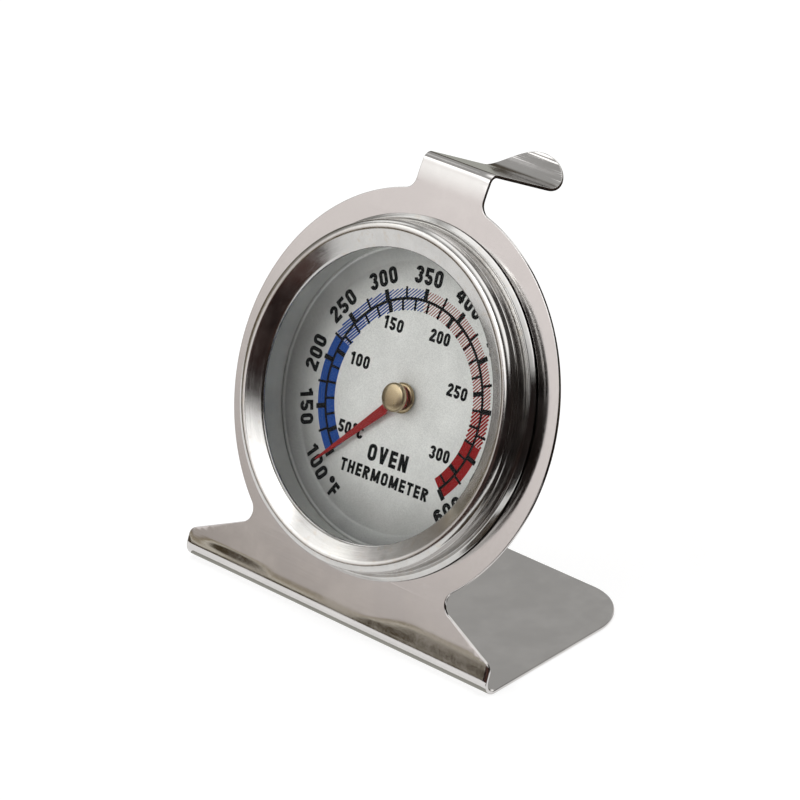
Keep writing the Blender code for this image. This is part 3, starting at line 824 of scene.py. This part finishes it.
def blank_outline():
    """The flat blank, counter-clockwise from the middle of the foot's end."""
    pts = [(0.0, FOOT_END_S)]
    pts += arc(BASE_HALF - FOOT_CORNER_R, FOOT_END_S + FOOT_CORNER_R, FOOT_CORNER_R,
               -math.pi / 2, 0.0, 24)
    edge = WING_S - (BASE_HALF - WING_U) * math.tan(WING_SLOPE)
    set_back = WING_CORNER_R * math.tan((math.pi / 2 - WING_SLOPE) / 2)
    pts += arc(BASE_HALF - WING_CORNER_R, edge - set_back, WING_CORNER_R, 0.0,
               math.pi / 2 - WING_SLOPE, 10)
    cx, cy = neck_fillet()
    pts += arc(cx, cy, NECK_R, 1.5 * math.pi - WING_SLOPE, math.atan2(AXIS_W - cy, -cx), 14)
    tab_cx = TAB_HALF + TAB_R
    tab_cy = AXIS_W + math.sqrt((PLATE_R + TAB_R) ** 2 - tab_cx ** 2)
    low, high = math.atan2(cy - AXIS_W, cx), math.atan2(tab_cy - AXIS_W, tab_cx)
    pts += arc(0.0, AXIS_W, PLATE_R, low, high, 90)[1:-1]
    pts += arc(tab_cx, tab_cy, TAB_R, math.pi + high, math.pi, 12)
    pts += arc(0.0, TIP_S - TAB_HALF, TAB_HALF, 0.0, math.pi / 2, 30)
    return pts + [(-x, y) for x, y in reversed(pts[1:-1])]


def bend_rows():
    """Lengths along the blank where it is cut across, so that it can bend."""
    rows = [FOOT_LOW_S + FOOT_ARC * i / 16 for i in range(17)] + [FOOT_LOW_S - 0.3]
    rows += [FOOT_TOP_S + 0.25 * i for i in range(1, 16)]
    rows += [HOOK_BEND_W - HOOK_EASE * i / 8 for i in range(1, 9)]
    rows += [HOOK_BEND_W + (HOOK_S - HOOK_BEND_W) * i / 14 for i in range(15)]
    rows += [HOOK_S + 0.3, FLIP_S - 0.3]
    return rows + [FLIP_S + (TIP_S - FLIP_S) * i / 22 for i in range(22)]


def border_loops(bm):
    """Corner lists of a flat mesh's open edges, each with the sheet on its left."""
    ahead = {}
    for edge in bm.edges:
        if len(edge.link_loops) == 1:
            corner = edge.link_loops[0]
            ahead[corner.vert] = corner.link_loop_next.vert
    loops = []
    while ahead:
        first, vert = ahead.popitem()
        loop = [first]
        while vert != first:
            loop.append(vert)
            vert = ahead.pop(vert)
        loops.append(loop)

    def area(loop):
        return sum(a.co.x * b.co.z - b.co.x * a.co.z for a, b in zip(loop, loop[1:] + loop[:1]))

    if area(max(loops, key=lambda loop: abs(area(loop)))) < 0.0:
        loops = [loop[::-1] for loop in loops]
    return loops


def inset(loop, amount):
    """Moves a counter-clockwise outline inwards."""
    out, n = [], len(loop)
    for i, (x, y) in enumerate(loop):
        a, b = loop[i - 1], loop[(i + 1) % n]
        da, db = unit(x - a[0], y - a[1]), unit(b[0] - x, b[1] - y)
        tx, ty = unit(da[0] + db[0], da[1] + db[1])
        grow = amount / max(0.4, tx * da[0] + ty * da[1])
        out.append((x - ty * grow, y + tx * grow))
    return out


def build_stand(mat):
    """The bent sheet with dulled edges: flat blank, cut along the bends, then folded."""
    hole = [(x, y + AXIS_W) for x, y in (polar(HOLE_R, -1.5 * i) for i in range(240))]
    blank = bmesh.new()
    loops = [inset(blank_outline(), EDGE), inset(hole, EDGE)]
    verts = [blank.verts.new((x, 0.0, y)) for loop in loops for x, y in loop]
    for tri in tessellate_polygon([[Vector((x, y, 0.0)) for x, y in loop] for loop in loops]):
        blank.faces.new([verts[i] for i in tri])
    for s in bend_rows():
        near = [f for f in blank.faces
                if min(v.co.z for v in f.verts) < s < max(v.co.z for v in f.verts)]
        cut(blank, near, (0.0, 0.0, s), (0.0, 0.0, 1.0))
    for i in range(-24, 25):
        near = [f for f in blank.faces if FOOT_LOW_S < f.calc_center_median().z < SAG_TOP]
        cut(blank, near, (1.25 * i, 0.0, 0.0), (1.0, 0.0, 0.0))
    bmesh.ops.triangulate(blank, faces=blank.faces[:])
    bmesh.ops.recalc_face_normals(blank, faces=blank.faces[:])
    fold_blank(blank, mat)


def cut(bm, faces, point, normal):
    edges = list({e for f in faces for e in f.edges})
    verts = list({v for f in faces for v in f.verts})
    bmesh.ops.bisect_plane(bm, geom=verts + edges + faces, dist=2e-4, plane_co=point,
                           plane_no=normal)


def fold_blank(blank, mat):
    """Gives the flat blank its thickness and rounded edge, and bends it."""
    half = SHEET / 2
    bm = bmesh.new()
    sides = []
    for t in (-half, half):
        sides.append({vert: bm.verts.new(sheet_place(vert.co.x, vert.co.z, t))
                      for vert in blank.verts})
    for face in blank.faces:
        bm.faces.new([sides[0][v] for v in face.verts])
        bm.faces.new([sides[1][v] for v in reversed(face.verts)])
    quarter = ((0.45, 0.12), (0.12, 0.45), (0.0, 1.0))
    rim = [(back, EDGE * depth - half) for back, depth in quarter]
    rim += [(back, half - EDGE * depth) for back, depth in reversed(quarter)]
    for loop in border_loops(blank):
        flat = [(vert.co.x, vert.co.z) for vert in loop]
        rings = [[sides[0][vert] for vert in loop]]
        for back, t in rim:
            rings.append([bm.verts.new(sheet_place(x, s, t))
                          for x, s in inset(flat, EDGE * (back - 1.0))])
        rings.append([sides[1][vert] for vert in loop])
        for a, b in zip(rings, rings[1:]):
            for i in range(len(loop)):
                j = (i + 1) % len(loop)
                bm.faces.new((a[i], a[j], b[j], b[i]))
    blank.free()
    stand = piece_from("stand_sheet", bm, mat, "stand_bracket", BODY, 60.0)
    even = stand.modifiers.new("even_normals", "WEIGHTED_NORMAL")
    even.mode = "FACE_AREA"
    even.keep_sharp = True


# ---------------------------------------------------------------- finishes on the CAD nodes

def dress_nodes():
    """Finishes for the pieces inside the case, which keep their CAD shapes."""
    brass = (0.56, 0.41, 0.22)
    looks = {
        "movement_bridge": steel("bridge_steel", (0.5, 0.5, 0.49), 0.3, 0.15, 0.004),
        "bimetal_coil": steel("bimetal", (0.52, 0.47, 0.40), 0.3, 0.15, 0.004),
    }
    for node in ("bridge_pillar_left", "bridge_pillar_right", "rear_bush", "coil_collar"):
        looks[node] = turned_metal(node + "_brass", brass, 0.25, 0.15, 0.004)
    for node in ("bridge_screw_left", "bridge_screw_right", "coil_anchor_post",
                 "pointer_shaft", "shaft_clip"):
        looks[node] = turned_metal(node + "_steel", (0.5, 0.5, 0.5), 0.25, 0.15, 0.004)
    for name, mat in looks.items():
        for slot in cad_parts[name].material_slots:
            slot.material = mat


# ---------------------------------------------------------------- studio

def direction(azimuth, elevation):
    """Unit vector; azimuth from the front, positive to the object's right."""
    a, e = math.radians(azimuth), math.radians(elevation)
    return Vector((math.sin(a) * math.cos(e), -math.cos(a) * math.cos(e), math.sin(e)))


def build_world():
    """Soft studio sky: pale ahead and behind, with bright panels and dark gaps."""
    world = bpy.data.worlds.new("studio")
    bpy.context.scene.world = world
    world.use_nodes = True
    nodes = Nodes(world.node_tree)
    ray = nodes.add("ShaderNodeTexCoord").outputs["Generated"]
    across, depth = nodes.dot(ray, (1.0, 0.0, 0.0)), nodes.dot(ray, (0.0, 1.0, 0.0))
    up, edge = nodes.dot(ray, (0.0, 0.0, 1.0)), nodes.dot(ray, (0.437, 1.0, 0.0))

    def spot(azimuth, elevation, outer, inner):
        """Share of a round spot: 0 outside the outer radius, 1 inside the inner (degrees)."""
        return nodes.ramp(nodes.dot(ray, tuple(direction(azimuth, elevation))),
                          math.cos(math.radians(outer)), math.cos(math.radians(inner)))

    def gate(*ranges):
        """Product of soft limits, each (value, where it is 0, where it is 1)."""
        share = nodes.ramp(*ranges[0])
        for limit in ranges[1:]:
            share = nodes.times(share, nodes.ramp(*limit))
        return share

    pale = (0.46, 0.46, 0.45, 1.0)
    ahead = nodes.mix(nodes.ramp(up, 0.0, 0.55), (0.22, 0.185, 0.15, 1.0), pale)
    behind = nodes.mix(nodes.ramp(up, 0.28, 0.46), (0.10, 0.088, 0.07, 1.0), pale)
    colour = nodes.mix(nodes.ramp(depth, -0.1, 0.25), ahead, behind)
    front = gate((edge, -0.565, -0.60), (across, 0.22, 0.13))
    left_end = (across, -0.56, -0.50)
    low = nodes.ramp(depth, 0.1, -0.1)
    bands = [(nodes.times(nodes.ramp(up, high, end), low), tint) for high, end, tint in (
        (0.13, 0.096, (0.27, 0.215, 0.13, 1.0)), (0.094, 0.086, (0.80, 0.76, 0.66, 1.0)),
        (0.074, 0.064, (0.055, 0.038, 0.018, 1.0)))]
    over = gate((nodes.dot(ray, (0.25, 1.0, 0.0)), -0.36, 0.18), (depth, 0.62, 0.45),
                (up, 0.55, 0.68), left_end)
    seam = gate((edge, -0.615, -0.585), (edge, -0.47, -0.53), (across, -0.50, -0.38))
    for share, tint in (
            (nodes.times(spot(-25.0, 48.0, 46.0, 36.5), front), (1.10, 1.04, 1.025, 1.0)),
            (nodes.times(spot(-48.0, 34.0, 22.0, 8.0), front), (1.5, 1.5, 1.48, 1.0)),
            (nodes.times(spot(-56.0, 47.0, 18.0, 7.0), front), (2.3, 2.3, 2.25, 1.0)),
            *bands,
            (spot(72.0, 25.0, 68.0, 58.0), (0.035, 0.03, 0.028, 1.0)),
            (nodes.times(spot(-15.0, 52.0, 34.0, 23.0), front), (1.9, 1.9, 1.9, 1.0)),
            (spot(-15.0, 52.0, 15.0, 8.0), (4.0, 4.0, 4.0, 1.0)),
            (spot(155.0, 25.0, 42.0, 32.0), (0.03, 0.026, 0.022, 1.0)),
            (over, (1.7, 1.7, 1.7, 1.0)),
            (nodes.times(spot(-152.0, 16.0, 24.0, 16.0), nodes.ramp(*left_end)),
             (1.3, 1.3, 1.28, 1.0)),
            (spot(-101.0, 38.0, 14.0, 7.0), (1.5, 1.5, 1.5, 1.0)),
            (nodes.times(seam, spot(-25.0, 48.0, 52.0, 40.0)), (0.06, 0.05, 0.03, 1.0))):
        colour = nodes.mix(share, colour, tint)
    background = world.node_tree.nodes["Background"]
    link(nodes, colour, background.inputs["Color"])
    background.inputs["Strength"].default_value = 1.0


def card_material(name, low, high):
    """A mottled studio surface that shows only in reflections."""
    mat = bpy.data.materials.new(name)
    mat.use_nodes = True
    tree = mat.node_tree
    nodes = Nodes(tree)
    tree.nodes.remove(tree.nodes["Principled BSDF"])
    raw = nodes.add("ShaderNodeTexCoord").outputs["Object"]
    mottle = nodes.noise(raw, 28.0, 4.0, 0.6)
    colour = nodes.mix(nodes.ramp(mottle, 0.35, 0.65), (*low, 1.0), (*high, 1.0))
    glow = nodes.add("ShaderNodeEmission", {"Strength": 1.0})
    link(nodes, colour, glow.inputs["Color"])
    link(nodes, glow.outputs[0], tree.nodes["Material Output"].inputs["Surface"])
    return mat


def stage_mesh(name, verts, faces, mat):
    mesh = bpy.data.meshes.new(name)
    mesh.from_pydata(verts, [], faces)
    mesh.materials.append(mat)
    mesh.update()
    obj = bpy.data.objects.new(name, mesh)
    bpy.context.scene.collection.objects.link(obj)
    return obj


def reflection_only(obj):
    for ray in ("camera", "diffuse", "transmission", "volume_scatter", "shadow"):
        setattr(obj, "visible_" + ray, False)


def ring_strip(r0, z0, r1, z1, a0, a1, steps):
    """A band of the surface swept round the vertical axis between two azimuths."""
    verts, faces = [], []
    for i in range(steps + 1):
        d = direction(a0 + (a1 - a0) * i / steps, 0.0)
        verts += [(d.x * r0, d.y * r0, z0), (d.x * r1, d.y * r1, z1)]
        if i:
            k = 2 * i
            faces.append((k - 2, k - 1, k + 1, k))
    return verts, faces


ROOM_COLOURS = {                       # darkest and lightest of each mottled surface
    "dusk": ((0.07, 0.048, 0.022), (0.20, 0.14, 0.075)),
    "grey": ((0.36, 0.36, 0.325), (0.42, 0.42, 0.385)),
    "gloom": ((0.03, 0.022, 0.016), (0.07, 0.052, 0.036)),
    "umber": ((0.006, 0.004, 0.004), (0.09, 0.040, 0.030)),
    "brown": ((0.005, 0.0035, 0.003), (0.020, 0.013, 0.012)),
}
ROOM = (                               # name, colour, r0, z0, r1, z1 (m), azimuths, steps
    ("room_floor", "dusk", 0.30, 0.0005, 2.9, 0.0005, -100.0, 115.0, 32),
    ("room_back", "grey", 0.09, 0.0005, 2.9, 0.0005, 195.0, 250.0, 14),
    ("room_far", "gloom", 0.09, 0.0005, 2.9, 0.0005, 115.0, 195.0, 18),
    ("room_left", "gloom", 0.09, 0.0005, 2.9, 0.0005, 250.0, 260.0, 3),
    ("camera_side", "umber", 0.15, 0.0, 0.15, 0.107, -18.5, 22.0, 18),
    ("right_side", "brown", 0.15, 0.0, 0.15, 0.15, 22.0, 112.0, 40),
    ("right_floor", "brown", 0.042, 0.0006, 0.15, 0.0006, 85.0, 195.0, 20),
    ("right_near", "gloom", 0.042, 0.0006, 0.085, 0.0006, 40.0, 85.0, 8),
    ("left_side", "dusk", 0.15, 0.0004, 0.3, 0.0004, -110.0, -77.0, 12),
)
CONTACT_SHADOW = (0.031, -0.0247, -0.022, 0.0003)      # painted contact shadow, seen only in reflections: half width, front, back, height (m)
FLOOR_HALF = 3.0


def rectangle(x0, x1, y0, y1, z):
    return [(x0, y0, z), (x1, y0, z), (x1, y1, z), (x0, y1, z)], [(0, 1, 2, 3)]


def build_stage():
    """White floor, greyer under the object, the surfaces that the metal mirrors, and a grey
    strip that the bend mirrors as painted contact shadow.
    """
    floor, nodes, shader = new_material("floor_white", Roughness=0.9, Specular_IOR_Level=0.1)
    mm = place(nodes)[0]
    cloud = nodes.ramp(nodes.noise(mm, 0.02, 3.0, 0.6), 0.3, 0.7, -0.01, 0.01)
    far = nodes.math("ADD", nodes.ramp(nodes.length(mm), 34.0, 55.0), cloud)
    link(nodes, nodes.mix(far, (0.42, 0.42, 0.42, 1.0), (0.10, 0.10, 0.10, 1.0)),
         shader.inputs["Base Color"])
    shader.inputs["Emission Color"].default_value = (1.0, 1.0, 1.0, 1.0)
    link(nodes, nodes.ramp(far, 0.0, 1.0, 0.74, 0.97), shader.inputs["Emission Strength"])
    stage_mesh("floor", *rectangle(-FLOOR_HALF, FLOOR_HALF, -FLOOR_HALF, FLOOR_HALF, 0.0), floor)
    mats = {name: card_material("room_" + name, *pair) for name, pair in ROOM_COLOURS.items()}
    for name, colour, *shape in ROOM:
        reflection_only(stage_mesh(name, *ring_strip(*shape), mats[colour]))
    half, y0, y1, z = CONTACT_SHADOW
    # painted shadow: a grey strip in front of the foot that the bend mirrors as its contact
    # shadow
    reflection_only(stage_mesh("contact_shadow_card", *rectangle(-half, half, y0, y1, z), mats["grey"]))


CAMERA_AT, CAMERA_AIM = Vector((0.38406, -0.3992, 0.3229)), Vector((0.01661, -0.02446, 0.04386))
CAMERA_ROLL = math.radians(-1.74)


def build_camera():
    data = bpy.data.cameras.new("camera")
    cam = bpy.data.objects.new("camera", data)
    bpy.context.scene.collection.objects.link(cam)
    data.sensor_width, data.lens = 36.0, 189.77
    data.shift_x, data.shift_y = -0.0021, 0.0012
    data.clip_start, data.clip_end = 0.01, 20.0
    forward = (CAMERA_AIM - CAMERA_AT).normalized()
    right = forward.cross(Vector((0.0, 0.0, 1.0))).normalized()
    above = right.cross(forward)
    c, s = math.cos(CAMERA_ROLL), math.sin(CAMERA_ROLL)
    basis = Matrix((c * right + s * above, c * above - s * right, -forward)).transposed()
    cam.matrix_world = Matrix.Translation(CAMERA_AT) @ basis.to_4x4()
    bpy.context.scene.camera = cam


def main():
    scene = bpy.context.scene
    scene.view_settings.view_transform = "Standard"
    scene.view_settings.look = "None"
    dress_nodes()
    build_stand(steel("stand_steel", (0.63, 0.612, 0.60), 0.07, 0.08, 0.0012, 0.02))
    turn_pieces()
    build_pointer()
    print_dial()
    build_world()
    build_stage()
    build_camera()


main()
